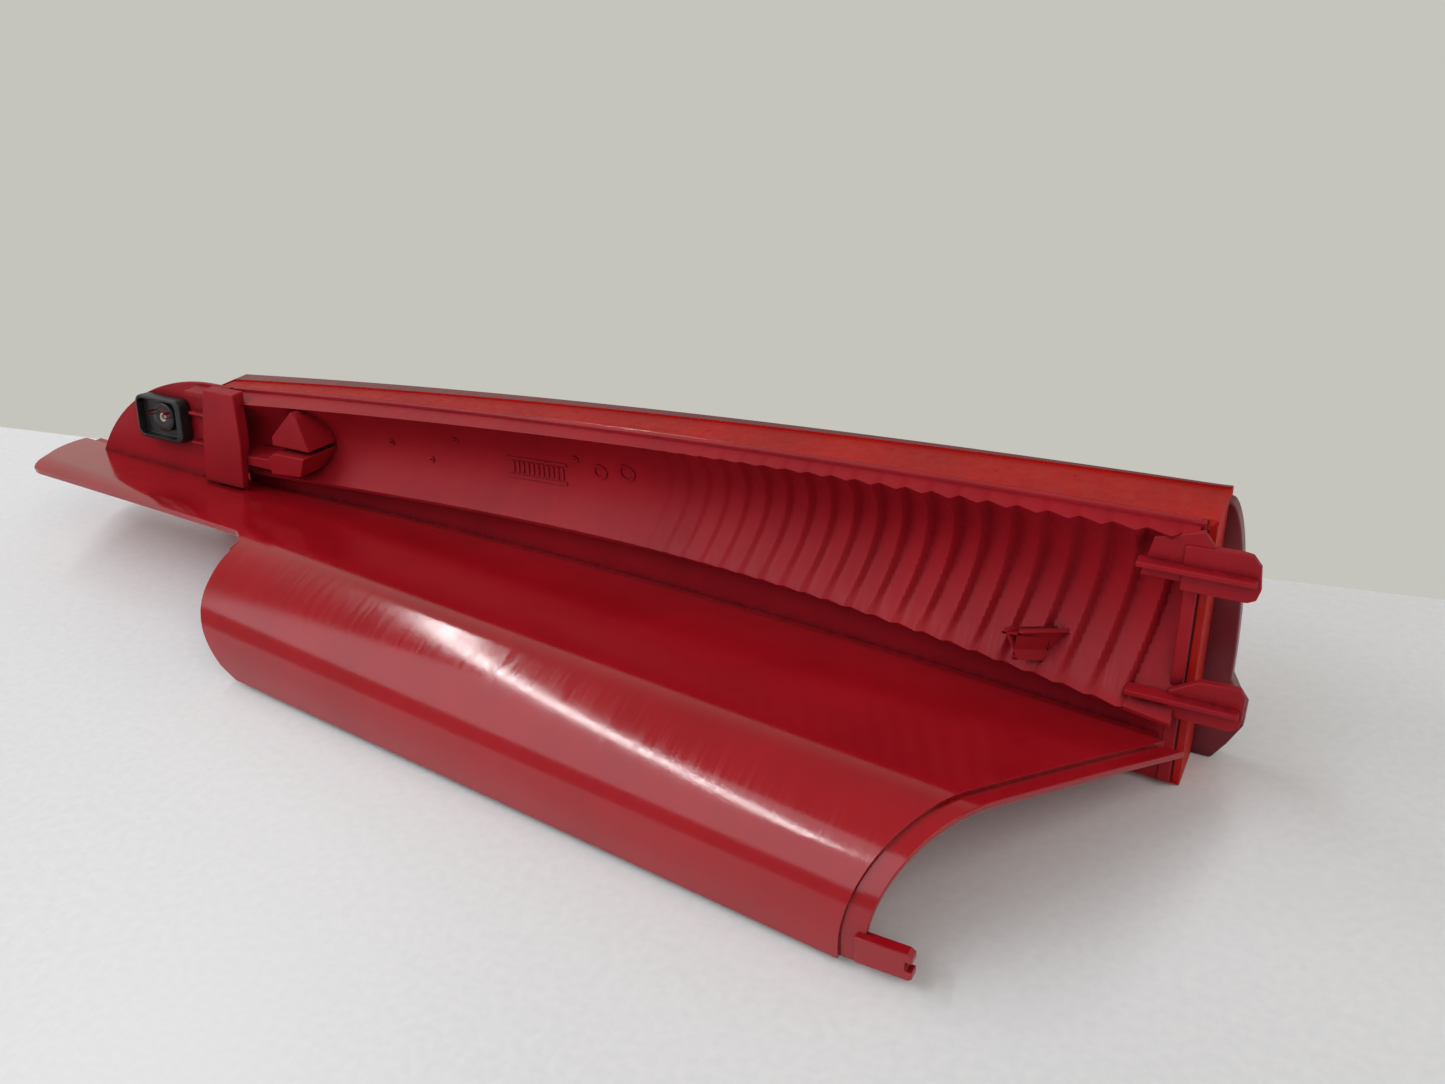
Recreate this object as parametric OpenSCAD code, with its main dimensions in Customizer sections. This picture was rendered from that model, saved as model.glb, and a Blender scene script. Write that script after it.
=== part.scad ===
// Lamp unit with its trim panel: a long tapered lens and housing, joined
// along one crease to a panel that curls down at its free edge.
// X runs along the lamp, narrow end to wide end. +Y points out through the
// lens. Z is up. The unit lies on Z = 0 with its origin under its middle.

/* [Lamp] */
// Length of the trough in the back of the housing
trough_l = 397; // [370:1:399]
// Height of the lens top above its lower edge at the wide end
lens_h = 92.5; // [90:0.5:94]
// Rise of the lens top from the narrow end to the wide end
rise = 22; // [18:1:24]
// Bow of the lens face at mid length
bow = 4; // [2:0.5:5]
// Wall of the rear housing
wall = 2.2; // [1.8:0.1:2.4]
// Wall of the lens
lens_wall = 2.4; // [2:0.1:2.6]
// Depth of the trough at its plain, narrow half
trough_d = 10; // [6:0.5:10.5]
// How much deeper the trough gets by its wide end
deepening = 5; // [0:0.5:5]

/* [Reeding] */
// Number of reeds across the wide half of the trough
reed_n = 22; // [12:1:24]
// Greatest height of a reed
reed_h = 2.6; // [1:0.1:3]

/* [Panel] */
// Thickness of the trim panel
panel_t = 2.4; // [2:0.1:3]
// Outer radius of the curl along the free edge
curl_r = 33; // [30:1:35]
// Width of the stepped lap flange on the wide end
flange_w = 7; // [5:0.5:9]
// How far the end peg stands out past the flange
peg_l = 14; // [8:1:18]

/* [Clip] */
// Width of the black retaining clip, along the lamp
clip_w = 28.5; // [27:0.5:29]
// Height of the clip
clip_h = 19.2; // [18:0.1:20]
// Radius of the clip's shank in the slot of the ear
shank_r = 4; // [3.5:0.25:4.5]
// Radius of the bore that takes the body stud
bore_r = 1.25; // [1:0.05:1.3]
// How far the clip can float each way along the lamp
float_x = 1.2; // [0.5:0.1:1.5]

/* [Electrics] */
// Number of lamps on the board
led_n = 12; // [6:1:14]
// Length of the circuit board
board_l = 300; // [240:5:310]
// Thickness of the circuit board
board_t = 1.6; // [1:0.2:1.6]

/* [Hidden] */

red = "#a5182a";
lens_red = "#c4161c";
black = "#1b1b1d";
gap = 0.1;                        // between pieces that are bonded or screwed together

// From the drawing's own axes to the middle of the whole unit
mid_x = 9.5;
mid_y = 24.5;
lift = 2.5;

// The lamp along X: the wide end of the housing, and 400 mm over which it rises
x_wide = 250;
x_narrow = x_wide - trough_l;
span = 400;
function along(x) = (x - x_wide + span) / span;
function hump(t) = t < 0 || t > 1 ? 0 : 4 * t * (1 - t);
function steps(a, b, n) = [for (i = [0:n]) a + (b - a) * i / n];
function reverse(a) = [for (i = [len(a) - 1:-1:0]) a[i]];

// Edges of the lens
top_wide = lens_h - lift;
function z_top(x) = top_wide - rise * (1 - along(x)) + 2.5 * hump(along(x));
function y_face(x) = 89 + bow * hump(along(x));
function y_rim(x) = y_face(x) - 14 - 10 * along(x);
z_foot = -lift;                   // lower edge of the lens, on the floor

// Crease where the panel meets the lamp
function crease_u(x) = (x + 136) / 385;
function y_crease(x) = 66 - 10.5 * crease_u(x) + 5 * hump(crease_u(x));
function z_crease(x) = 27 - 7 * crease_u(x) + 1.5 * hump(crease_u(x));

// Back of the housing
recess = 7;                       // depth of the channel under the lip
channel = 3;                      // drop of the channel floor below the crease
function y_band(x) = y_face(x) - 27 - 3 * pow(along(x), 2);
function z_band(x) = z_top(x) - 3;
function z_lip(x) = z_crease(x) + 5 + 9 * sin(180 * pow(along(x), 1.3));

// Reeds: a sawtooth along X that grows towards the wide end, pitch growing too
reed_x0 = 60;
reed_x1 = 246;
crest = 0.72;                     // share of each reed before its crest
function reed_u(x) = (x - reed_x0) / (reed_x1 - reed_x0);
function reed_phase(x) = reed_n * reed_u(x) * (1.14 - 0.14 * reed_u(x));
function reed_at(phase) = let (p = phase / reed_n)
    reed_x0 + (reed_x1 - reed_x0) * (1.14 - sqrt(1.2996 - 0.56 * p)) / 0.28;
function saw(p) = let (f = p - floor(p)) f < crest ? f / crest : (1 - f) / (1 - crest);
function reed(x) = let (u = reed_u(x))
    u <= 0 || u >= 0.995 ? 0 : reed_h * min(1, 1.6 * u) * saw(reed_phase(x));

// Trough wall: s is 0 at the band and 1 at the lip
function depth(x) = trough_d + deepening * max(0, (x - reed_x0) / (x_wide - reed_x0));
function trough_y(x, s) = y_band(x) + (y_crease(x) - 1 - y_band(x)) * s + depth(x) * pow(sin(180 * s), 0.85);
function reeded_y(x, s) = trough_y(x, s) - reed(x) * min(1, 3.5 - 3 * s);
function trough_z(x, s) = z_band(x) + (z_lip(x) + 2 - z_band(x)) * s;

// Outer and inner outlines of the housing's back at x, each a list of [y, z]
function back_outer(x) = let (yr = y_rim(x) - gap, yc = y_crease(x), zt = z_top(x), zl = z_lip(x)) concat(
    [[yr, zt - 0.9], [yr - 0.6, zt - 0.2], [yr - 2, zt - 0.2], [yr - 2.6, zt - 1.6]],
    [for (s = steps(0, 1, 6)) [reeded_y(x, s), trough_z(x, s)]],
    [[yc - 0.6, zl + 0.6], [yc + 0.8, zl], [yc + recess, zl + 0.6],
        [yc + recess, z_crease(x) - channel - panel_t], [yr - 2, z_foot + 2.4], [yr, z_foot + 2.4]]);
function back_inner(x) = let (yr = y_rim(x) - gap, yc = y_crease(x), zt = z_top(x), zl = z_lip(x)) concat(
    [[yr, zt - 3.2], [yr - 1, zt - 3.4], [yr - 2, zt - 3.6], [yr - 2.6, zt - 3.9]],
    [for (s = steps(0.08, 0.9, 6)) [trough_y(x, s) + wall, trough_z(x, s)]],
    [[yc + recess, zl + 3.2], [yc + recess + 1, zl + 2.8], [yc + recess + wall, zl + 2],
        [yc + recess + wall, z_crease(x) - 4], [yr - 0.4, z_foot + 5.2], [yr, z_foot + 5]]);
function back_section(x) = concat(back_outer(x), reverse(back_inner(x)));
// End wall: from the middle of the back's own wall across to the rim, or just into that wall
// where the trough reaches past the rim
function end_section(x) = let (a = back_outer(x), b = back_inner(x), yr = y_rim(x) - gap,
        edge = [for (i = [3:len(a) - 2]) (a[i] + b[i]) / 2])
    concat(edge, reverse([for (p = edge) [max(yr, p[0] + 0.6), p[1]]]));

// Lens: its ends, its outside, and the space inside it
lens_x0 = -184;
lens_x1 = 254;
corner_x = -152;
function lens_top(x) = x < corner_x ? z_top(corner_x) + (x - corner_x) * 0.42 : z_top(x);
function lens_foot(x) = x < corner_x ? z_foot + pow((corner_x - x) / 32, 2) * 14 : z_foot;
function lens_outer(x) = let (yf = y_face(x), zt = lens_top(x), zb = lens_foot(x)) concat(
    [[yf - 1, zt], [yf - 6, zt], [yf - 6, zt - 0.8], [y_rim(x) + 0.8, zt - 0.8],
        [y_rim(x) + 0.8, zb], [yf - 1, zb]],
    [for (t = steps(1, 0, 6)) [yf + 3 * sin(180 * t), zt - 1 - (zt - zb - 2) * t]]);
function lens_inner(x) = let (yf = y_face(x) - lens_wall, zt = lens_top(x) - 0.8 - lens_wall,
        zb = lens_foot(x) + lens_wall) concat(
    [[y_rim(x) - 2, zt], [y_rim(x) - 2, zb]],
    [for (t = steps(1, 0, 6)) [yf + 3 * sin(180 * t), zt + (zb - zt) * t]]);

// Panel: a flat that runs at a tangent into the curl
curl_z = 4;                       // height of the curl's centre line
function y_bottom(x) = -20.8 - (x + 59.7) * 0.105;
function curl_c(x) = [y_bottom(x) + curl_r, curl_z];
function crease_pt(x) = [y_crease(x), z_crease(x)];
function tangent(x) = let (d = crease_pt(x) - curl_c(x)) atan2(d[1], d[0]) + acos(curl_r / norm(d));
function ray(a, r) = r * [cos(a), sin(a)];
// [y, z] at s along the section: 0 crease, 1 start of curl, 1.9 end of curl, 2 bottom edge
function on_panel(x, s, depth = 0) = let (c = curl_c(x), a = tangent(x), r = curl_r - depth)
    s <= 1 ? (crease_pt(x) - ray(a, depth)) * (1 - s) + (c + ray(a, r)) * s
    : s < 1.9 ? c + ray(a + (180 - a) * (s - 1) / 0.9, r)
    : c + [-r, -curl_z * (s - 1.9) / 0.1];

// Ends of the panel along X, at s
tongue_x = -84;
function wide_edge(y) = 189.3 + 0.586 * (y + 47);
function wide_x(s) = wide_edge(on_panel(wide_edge(on_panel(215, s)[0]), s)[0]);
function narrow_x(s) = tongue_x + 3 * max(0, s - 1) + 19 * pow(max(0, (s - 1.5) / 0.5), 2.2);
// The tongue runs on past the curl with a straight near edge and a slanted tip
tip_x = -250;
function tongue_near(x) = 17.9 - 0.05 * (x - tongue_x);
function tongue_s(x) = let (a = tangent(x), b = acos((tongue_near(x) - curl_c(x)[0]) / curl_r),
        full = 1 + 0.9 * (b - a) / (180 - a))
    let (t = min(1, (x - tip_x) / 27)) 0.02 + (full - 0.02) * (t < 1 ? pow(1 - pow(1 - t, 1.6), 0.8) : 1);

// Ear: where the clip's axis crosses its front face, and how far it leans back
clip_x = -176;
clip_y = 65;
clip_z = 54;
lean = -8;
slot_r = shank_r + 0.5;
clip_d = 5.8;                     // depth of the clip in front of the ear
clip_low = [-clip_w * 0.61, -clip_h * 0.57];   // its lower corner, from the axis
guide_z = [-9.5, 3.5];            // heights of the two guide rails from the axis

// Circuit board: a straight strip that follows the rise of the lens
board_x = 55;
board_y = 79.4;
board_z = 58;
board_w = 15;
board_slope = 3.2;
boss_xs = [-125, -50, 50, 125];   // from the middle of the board
led_pitch = (board_l - 24) / (led_n - 1);
led_xs = [for (i = [0:led_n - 1]) (i - (led_n - 1) / 2) * led_pitch];

// Connector, in the lower wall of the housing behind the panel
plug_x = 178;
plug_y = 67.2;
plug_z = 8;
plug_turn = -3.6;
plug_w = 14;
plug_h = 10;
wire_xs = [-2.5, 2.5];

// Vent, in the same wall
vent_x = 60;
vent_z = 9;
vent_y = y_crease(vent_x) + recess - 0.8;

module place() { translate([-mid_x, -mid_y, lift]) children(); }

// Closed loft through sections, each a list of [x, y, z]. A section that is a bent sheet lists
// one face and then the other face in reverse, so its ends close with a ladder of quads.
function ladder(m, first, flip) = [for (i = [0:m / 2 - 2]) let (q = [i, i + 1, m - 2 - i, m - 1 - i])
    each [for (t = [[q[0], q[1], q[2]], [q[0], q[2], q[3]]]) [for (k = flip ? reverse(t) : t) first + k]]];
module loft(secs, sheet = false) {
    m = len(secs[0]);
    n = len(secs);
    polyhedron([for (s = secs) each s], concat(
        sheet ? ladder(m, 0, false) : [[for (j = [0:m - 1]) j]],
        [for (i = [0:n - 2]) for (j = [0:m - 1]) let (a = i * m + j, b = i * m + (j + 1) % m)
            each [[a, a + m, b], [b, a + m, b + m]]],
        sheet ? ladder(m, (n - 1) * m, true) : [[for (j = [m - 1:-1:0]) (n - 1) * m + j]]), convexity = 8);
}
function at(x, sec) = [for (p = sec) [x, p[0], p[1]]];

// Frames that the small pieces are drawn in
module ear_frame() { translate([clip_x, clip_y, clip_z]) rotate([lean, 0, 0]) children(); }
module board_frame() { translate([board_x, board_y, board_z]) rotate([0, -board_slope, 0]) children(); }
module plug_frame() { translate([plug_x, plug_y, plug_z]) rotate([0, 0, plug_turn]) children(); }
module along_y(y) { translate([0, y, 0]) rotate([-90, 0, 0]) children(); }
module box(x0, y0, z0, x1, y1, z1) { translate([x0, y0, z0]) cube([x1 - x0, y1 - y0, z1 - z0]); }

// Ear that carries the clip, with the two rails that guide it
ear_a = 85;
ear_b = 71;
function ear_line(a) = [-150 - clip_x - ear_a * cos(a), ear_b * sin(a) - clip_z];
module ear() {
    ear_frame() {
        difference() {
            rotate([90, 0, 0]) translate([0, 0, -wall]) linear_extrude(wall)
                polygon(concat([for (a = [26:4:90]) ear_line(a)], [[37, 17], [37, -23]]));
            hull() for (x = [-float_x, float_x]) translate([x, 0, 0]) along_y(-1) cylinder(r = slot_r, h = 5);
        }
        for (z = guide_z) box(clip_low[0] + clip_w + 2.5, -3.4, z - 0.6, 34, 0.5, z + 0.6);
    }
}

// Wall that joins the ear to the narrow end of the trough
module web() {
    hull() {
        box(-154, 56, 30.1, -131, 59, 31.5);
        box(-147, 60, 69, -129, 66, 71.5);
    }
    box(-159, 60, 67, -140, 68, 69);
}

// Pair of small wedges beside the web, and the ledge that the lower one ends
module wedges() {
    translate([-112, 0, 0]) rotate([90, 0, 90]) linear_extrude(18)
        polygon([[75, 52], [61, 52], [60, 56], [62.5, 66], [75, 69]]);
    translate([-114, 0, 0]) rotate([90, 0, 90]) linear_extrude(21)
        polygon([[75, 50], [60, 50], [57.5, 46], [60, 40.5], [75, 39]]);
    box(-134, 60, 40, -112, 72, 45);
}

// Locating tab: an upright plate with a rib along its middle
module tab(x, y, z, l, h) {
    box(x, y, z - h / 2, x + l, y + 2.6, z + h / 2);
    box(x - 12, y - 3, z - 1, x + l - 1, y + 2, z + 0.8);
}

// Gusset that stiffens the upper tab
module gusset() {
    translate([0, 60.6, 0]) rotate([90, 0, 0]) linear_extrude(2)
        polygon([[236, 72], [238.6, 84.5], [251.5, 88.6], [256, 83], [256, 72]]);
}

// Hollow tower of triangular section that leans towards the narrow end, open at its mouth
function tri(y, dx, dz, k) = [for (p = [[-4, 5.5], [4, 6.5], [2, -7]])
    [201.8 + dx + k * p[0], y, 42.5 + dz + k * p[1]]];
module tower() {
    difference() {
        loft([tri(54, 0, 0, 1), tri(70, 16, -5, 1.05)]);
        loft([tri(53, -1, 0.3, 0.7), tri(62, 8, -2.5, 0.5)]);
    }
}

// Posts that hold the circuit board off the wall
function boss_y(x, z) = trough_y(x, (z_band(x) - z) / (z_band(x) - z_lip(x) - 2)) + wall * 0.7;
module bosses(r, y0, y1) {
    for (x = boss_xs) {
        bx = board_x + x * cos(board_slope);
        bz = board_z + x * sin(board_slope);
        back = y0 == 0 ? boss_y(bx, bz) : y0;
        translate([bx, 0, bz]) along_y(back) cylinder(r = r, h = y1 - back, $fn = 32);
    }
}

// The moulding is merged as one mesh: it has no round hole that another piece depends on
module rear_housing() color(red) resize([0, 0, 0]) place() {
    xs = concat(steps(x_narrow, reed_x0 - 7, 12),
        [for (k = [0:reed_n - 1]) each [reed_at(k), reed_at(k + crest)]], [reed_x1 + 0.5, x_wide]);
    difference() {
        union() {
            loft([for (x = xs) at(x, back_section(x))], sheet = true);
            loft([for (x = [x_narrow + 0.1, x_narrow + wall]) at(x, end_section(x))], sheet = true);
            loft([for (x = [x_wide - wall, x_wide - 0.1]) at(x, end_section(x))], sheet = true);
            web();
            wedges();
            tab(246, 58, 77, 22, 15);
            tab(248, 58, 34, 21, 15);
            gusset();
            tower();
            bosses(3, 0, board_y - gap);
        }
        bosses(1.1, board_y - 3, board_y);
        plug_frame() box(-plug_w / 2 - 0.3, -6, -plug_h / 2 - 0.3, plug_w / 2 + 0.3, 8, plug_h / 2 + 0.3);
        translate([vent_x, 0, vent_z]) along_y(vent_y - 5) cylinder(r = 2.6, h = 12, $fn = 32);
    }
    ear();
}

// Both faces of the sheet at x: the channel floor, the crease, then s from 0 to the free edge
function sheet_top(x, ss) = let (p = crease_pt(x)) concat(
    [p + [recess - gap, -channel], p + [1.4, -channel]], [for (s = ss) on_panel(x, s)]);
function sheet_low(x, ss) = let (p = crease_pt(x), t = panel_t) concat(
    [p + [recess - gap, -channel - t + 0.3], p + [-0.4, -channel - t + 0.3]],
    [for (s = ss) on_panel(x, s == 0 ? 0.04 : s, t)]);

module trim_panel() color(red) place() {
    ss = concat(steps(0, 1, 4), steps(1.09, 1.9, 9), [2]);
    // The sheet, from channel to bottom edge
    loft([for (v = steps(0, 1, 20)) let (
            xs = concat([narrow_x(0), narrow_x(0)], [for (s = ss) narrow_x(s)]) * (1 - v)
                + concat([246, 246], [for (s = ss) wide_x(s)]) * v)
        concat([for (i = [0:len(xs) - 1]) at(xs[i], [sheet_top(xs[i], ss)[i]])[0]],
            reverse([for (i = [0:len(xs) - 1]) at(xs[i], [sheet_low(xs[i], ss)[i]])[0]]))], sheet = true);
    // The tongue: channel and flat alone, carried on past the curl, a hair inside the sheet's faces
    loft([for (x = concat(steps(tip_x, tongue_x, 16), [tongue_x + 5]))
        let (ts = steps(0, tongue_s(x), 6), sunk = x > tongue_x ? 0.05 : 0)
        at(x, concat([for (q = sheet_top(x, ts)) q - [0, sunk]],
            [for (q = reverse(sheet_low(x, ts))) q + [0, sunk]]))], sheet = true);
    // Lap flange, a step below the face along the wide end
    loft([for (s = concat(steps(0.02, 0.98, 5), steps(1.05, 1.86, 9), [1.95, 2.5]))
        let (x = wide_x(min(s, 2)), drop = [0, 0, s > 2 ? -lift : 0],
            top = on_panel(x, min(s, 2), 1.2), low = on_panel(x, min(s, 2), 3.2)) [
        [x + flange_w, top[0], top[1]] + drop, [x - 3, top[0], top[1]] + drop,
        [x - 3, low[0], low[1]] + drop, [x + flange_w, low[0], low[1]] + drop]]);
    // End peg, forked at its tip
    difference() {
        box(194, -47, 1, 196 + peg_l, -43.5, 10);
        box(194 + peg_l, -50, 4, 200 + peg_l, -40, 7);
    }
}

module outer_lens() color(lens_red) place() {
    xs = concat([lens_x0, -168], [corner_x], steps(-125, lens_x1, 14));
    difference() {
        union() {
            loft([for (x = xs) at(x, lens_outer(x))]);
            // Front flange that stands out past the wide end
            translate([0, y_face(lens_x1) + 0.6, 0]) rotate([90, 0, 0]) linear_extrude(6) polygon(concat(
                [[245, z_foot], [245, 87], [254, 87]],
                [for (a = [20:10:90]) [254 + 8.5 * sin(a), 28 + 59 * cos(a)]],
                [[268, 19], [268, 12], [260, z_foot]]));
        }
        loft([for (v = xs) let (x = max(lens_x0 + lens_wall, min(lens_x1 - lens_wall, v)))
            at(x, lens_inner(x))]);
    }
}

// Bead between the rim of the housing and the wall of the lens
function bead(x, y0, y1, inset) = let (y = y_rim(x), zt = z_top(x) - inset, zb = z_foot + inset)
    at(x, [[y + y1, zt], [y + y0, zt], [y + y0, zb], [y + y1, zb]]);
module lens_seal() color(black) place() {
    difference() {
        loft([for (x = steps(x_narrow - 1.6, x_wide + 1.5, 12)) bead(x, 0, 0.7, 1)]);
        loft([for (x = steps(x_narrow - gap, x_wide + gap, 12)) bead(x, -1, 2, 3.1)]);
    }
}

module reflector() color("#d8d8da") place() board_frame() difference() {
    box(-board_l / 2, 3.2, -board_w / 2, board_l / 2, 5.8, board_w / 2);
    for (x = led_xs) translate([x, 0, 0]) along_y(3) cylinder(r1 = 3, r2 = 5.6, h = 3);
}

module diffuser() color("#e8e4e4") place() board_frame() {
    box(-board_l / 2, 6, -board_w / 2, board_l / 2, 7, board_w / 2);
    for (x = steps(-board_l / 2 + 4, board_l / 2 - 4, 36))
        translate([x, 7, -board_w / 2]) cylinder(r = 0.9, h = board_w, $fn = 24);
}

module led_board() color("#1f5c3a") place() board_frame() difference() {
    box(-board_l / 2, 0, -board_w / 2, board_l / 2, board_t, board_w / 2);
    for (x = boss_xs) translate([x, 0, 0]) along_y(-1) cylinder(r = 1.3, h = 4, $fn = 32);
}

module leds() color("#f1e9c8") place() board_frame()
    for (x = led_xs) translate([x, board_t + 0.02, 0]) {
        box(-1.75, 0, -1.4, 1.75, 0.9, 1.4);
        along_y(0.8) cylinder(r1 = 1.2, r2 = 0.7, h = 0.6);
    }

module resistors() color("#2a2a2c") place() board_frame()
    for (i = [0:2:led_n - 2]) translate([(led_xs[i] + led_xs[i + 1]) / 2, board_t + 0.02, -4.5])
        box(-1.6, 0, -0.8, 1.6, 0.6, 0.8);

module polarity_diode() color("#202022") place() board_frame()
    translate([board_l / 2 - 20, board_t + 0.02, 4.6]) {
        box(-2.2, 0, -1.3, 2.2, 1.3, 1.3);
        for (x = [-3, 2]) box(x, 0, -0.7, x + 1, 0.3, 0.7);
    }

module board_screws() color("#b9bcc0") place() board_frame()
    for (x = boss_xs) translate([x, 0, 0]) {
        along_y(board_t + 0.05) cylinder(r = 2.1, h = 1.2, $fn = 32);
        along_y(-2.4) cylinder(r = 0.95, h = board_t + 2.6, $fn = 24);
    }

// Two insulated leads from the back of the board down to the terminals
wire_r = 0.65;
module lead_wires() color("#b3202a") place() plug_frame() for (x = wire_xs) translate([x, 0, 0]) {
    drop = 54;
    back = 11.2;
    translate([0, back, 3]) cylinder(r = wire_r, h = drop - 3, $fn = 16);
    translate([0, back - 3, 3]) rotate([90, 0, 90]) rotate_extrude(angle = -90, $fn = 32)
        translate([3, 0]) circle(r = wire_r, $fn = 16);
    along_y(7.2) cylinder(r = wire_r, h = back - 3 - 7.2, $fn = 16);
}

module connector_socket() color(black) place() plug_frame() difference() {
    union() {
        box(-plug_w / 2, -9, -plug_h / 2, plug_w / 2, 5, plug_h / 2);
        box(-plug_w / 2 - 2, 3.4, -plug_h / 2 - 2, plug_w / 2 + 2, 5, plug_h / 2 + 2);
    }
    box(-plug_w / 2 + 1.4, -10, -plug_h / 2 + 1.4, plug_w / 2 - 1.4, 2, plug_h / 2 - 1.4);
    for (x = wire_xs) translate([x, 0, 0]) along_y(1) cylinder(r = 0.9, h = 6, $fn = 24);
}

module socket_seal() color("#3a3a3c") place() plug_frame() difference() {
    box(-plug_w / 2 - 1.8, 2.5, -plug_h / 2 - 1.8, plug_w / 2 + 1.8, 3.3, plug_h / 2 + 1.8);
    box(-plug_w / 2 - 0.1, 2, -plug_h / 2 - 0.1, plug_w / 2 + 0.1, 4, plug_h / 2 + 0.1);
}

module connector_terminals() color("#c9a54a") place() plug_frame()
    for (x = wire_xs) translate([x, 0, 0]) {
        box(-0.4, -4, -1.2, 0.4, 1.5, 1.2);
        along_y(1.4) cylinder(r = 0.8, h = 5.7, $fn = 24);
    }

module vent_plug() color(black) place() translate([vent_x, vent_y, vent_z]) difference() {
    union() {
        along_y(-3) cylinder(r = 5, h = 2.4, $fn = 48);
        along_y(-0.8) cylinder(r = 2.5, h = 4.6, $fn = 32);
    }
    along_y(-2) cylinder(r = 1.4, h = 8, $fn = 24);
}

module vent_membrane() color("#f2f2f0") place() translate([vent_x, vent_y, vent_z])
    along_y(3.85) cylinder(r = 2.4, h = 0.3, $fn = 32);

module foam_pad() color("#2b2b2b") place() plug_frame() difference() {
    box(-plug_w / 2 - 5, -4.2, -plug_h / 2 - 4, plug_w / 2 + 5, -1, plug_h / 2 + 3);
    box(-plug_w / 2 - 0.2, -5, -plug_h / 2 - 0.2, plug_w / 2 + 0.2, 0, plug_h / 2 + 0.2);
}

// Black clip: a shallow cap in front of the ear with a round boss in it, a shank in the slot of
// the ear, and a collar that keeps it there
module retaining_clip() color(black) place() ear_frame() difference() {
    union() {
        translate([clip_low[0], -clip_d, clip_low[1]]) hull()
            for (x = [4, clip_w - 4]) for (z = [4, clip_h - 4])
                translate([x, 0, z]) along_y(0) cylinder(r = 4, h = clip_d - 0.3, $fn = 32);
        along_y(-1) cylinder(r = shank_r, h = 1 + wall + 2.5, $fn = 64);
        along_y(wall + 0.3) cylinder(r = shank_r + 2.2, h = 1.5, $fn = 64);
    }
    // Hollow round the boss
    difference() {
        box(clip_low[0] + 1.3, -clip_d - 1, clip_low[1] + 1.3,
            clip_low[0] + clip_w - 3, -2, clip_low[1] + clip_h - 1.3);
        along_y(-clip_d - 2) cylinder(r = 6.5, h = clip_d + 2, $fn = 48);
    }
    along_y(-clip_d - 1) cylinder(r = bore_r + 0.75, h = clip_d + 30, $fn = 48);
}

// Pale liner with a blind bore, which the stud of the vehicle pushes into
module stud_bush() color("#d9d6cf") place() ear_frame() difference() {
    along_y(-clip_d) cylinder(r = bore_r + 0.7, h = clip_d + wall + 2.5, $fn = 48);
    along_y(-clip_d - 1) cylinder(r = bore_r, h = clip_d + 1, $fn = 48);
}

rear_housing();
trim_panel();
outer_lens();
lens_seal();
reflector();
diffuser();
led_board();
leds();
resistors();
polarity_diode();
board_screws();
lead_wires();
connector_socket();
socket_seal();
connector_terminals();
vent_plug();
vent_membrane();
foam_pad();
retaining_clip();
stud_bush();
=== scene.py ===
# %% [markdown]
# # A vehicle rear lamp and its trim panel
# The lamp is a long tapered box: a clear red lens in front, an opaque red housing behind it, and a
# trim panel that leaves the housing along one crease and curls down at its free edge. The packed
# model holds every size and every joint. Here each visible surface is built again with a finer mesh
# and a finish, in the same place.

# %% Load the frame
import math

import bmesh
import bpy
from mathutils import Matrix, Vector


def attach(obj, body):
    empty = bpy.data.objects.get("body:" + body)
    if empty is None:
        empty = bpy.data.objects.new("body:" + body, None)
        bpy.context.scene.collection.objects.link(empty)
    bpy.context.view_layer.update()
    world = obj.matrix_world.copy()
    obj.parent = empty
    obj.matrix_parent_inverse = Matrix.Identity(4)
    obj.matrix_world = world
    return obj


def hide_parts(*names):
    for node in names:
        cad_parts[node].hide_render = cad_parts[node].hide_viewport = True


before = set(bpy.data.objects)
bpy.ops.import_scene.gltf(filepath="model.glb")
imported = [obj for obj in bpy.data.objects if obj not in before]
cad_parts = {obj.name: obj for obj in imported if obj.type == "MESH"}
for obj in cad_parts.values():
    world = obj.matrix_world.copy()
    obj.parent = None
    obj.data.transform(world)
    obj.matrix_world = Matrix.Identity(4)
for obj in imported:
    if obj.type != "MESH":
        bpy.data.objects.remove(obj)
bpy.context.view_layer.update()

# %% [markdown]
# ## Camera
# The camera comes first, because it says what has to be detailed. It stands in front of the tall
# end, a little above the lamp, and looks down along it. It is turned about three angles, in the
# order that a tripod has: pan, tilt, and a small roll.

# %% Camera
PAN, TILT, ROLL = math.radians(30), math.radians(28), math.radians(3)
camera_data = bpy.data.cameras.new("camera")
camera_data.sensor_width = 36
camera_data.lens = 31.7647
camera = bpy.data.objects.new("camera", camera_data)
bpy.context.scene.collection.objects.link(camera)
camera.matrix_world = (
    Matrix.Translation((0.2805, -0.2945, 0.2575))
    @ Matrix.Rotation(PAN, 4, "Z")
    @ Matrix.Rotation(math.pi / 2 - TILT, 4, "X")
    @ Matrix.Rotation(-ROLL, 4, "Z")
)
bpy.context.scene.camera = camera
print("lens %.1f mm" % camera_data.lens)

# %% [markdown]
# ## The shapes as formulas
# The lamp is one family of sections: for each place along X there is one outline in Y and Z. The
# outlines are written as small functions, in millimetres. The solid model uses the same ones, apart
# from the reeds' lean and height and the tongue's fillet.
# Anything that follows them, such as a wall or a rib, can then be drawn as finely as it needs.
# The drawing has its own axes: place() carries a point from them into the frame.

# %% Along the lamp
MID_X, MID_Y, LIFT = 9.5, 24.5, 2.5
X_WIDE, X_NARROW, SPAN = 250, -147, 400
Z_FOOT = -LIFT
WALL = 2.2
TOP_WIDE, RISE, BOW = 90, 22, 4


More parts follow.
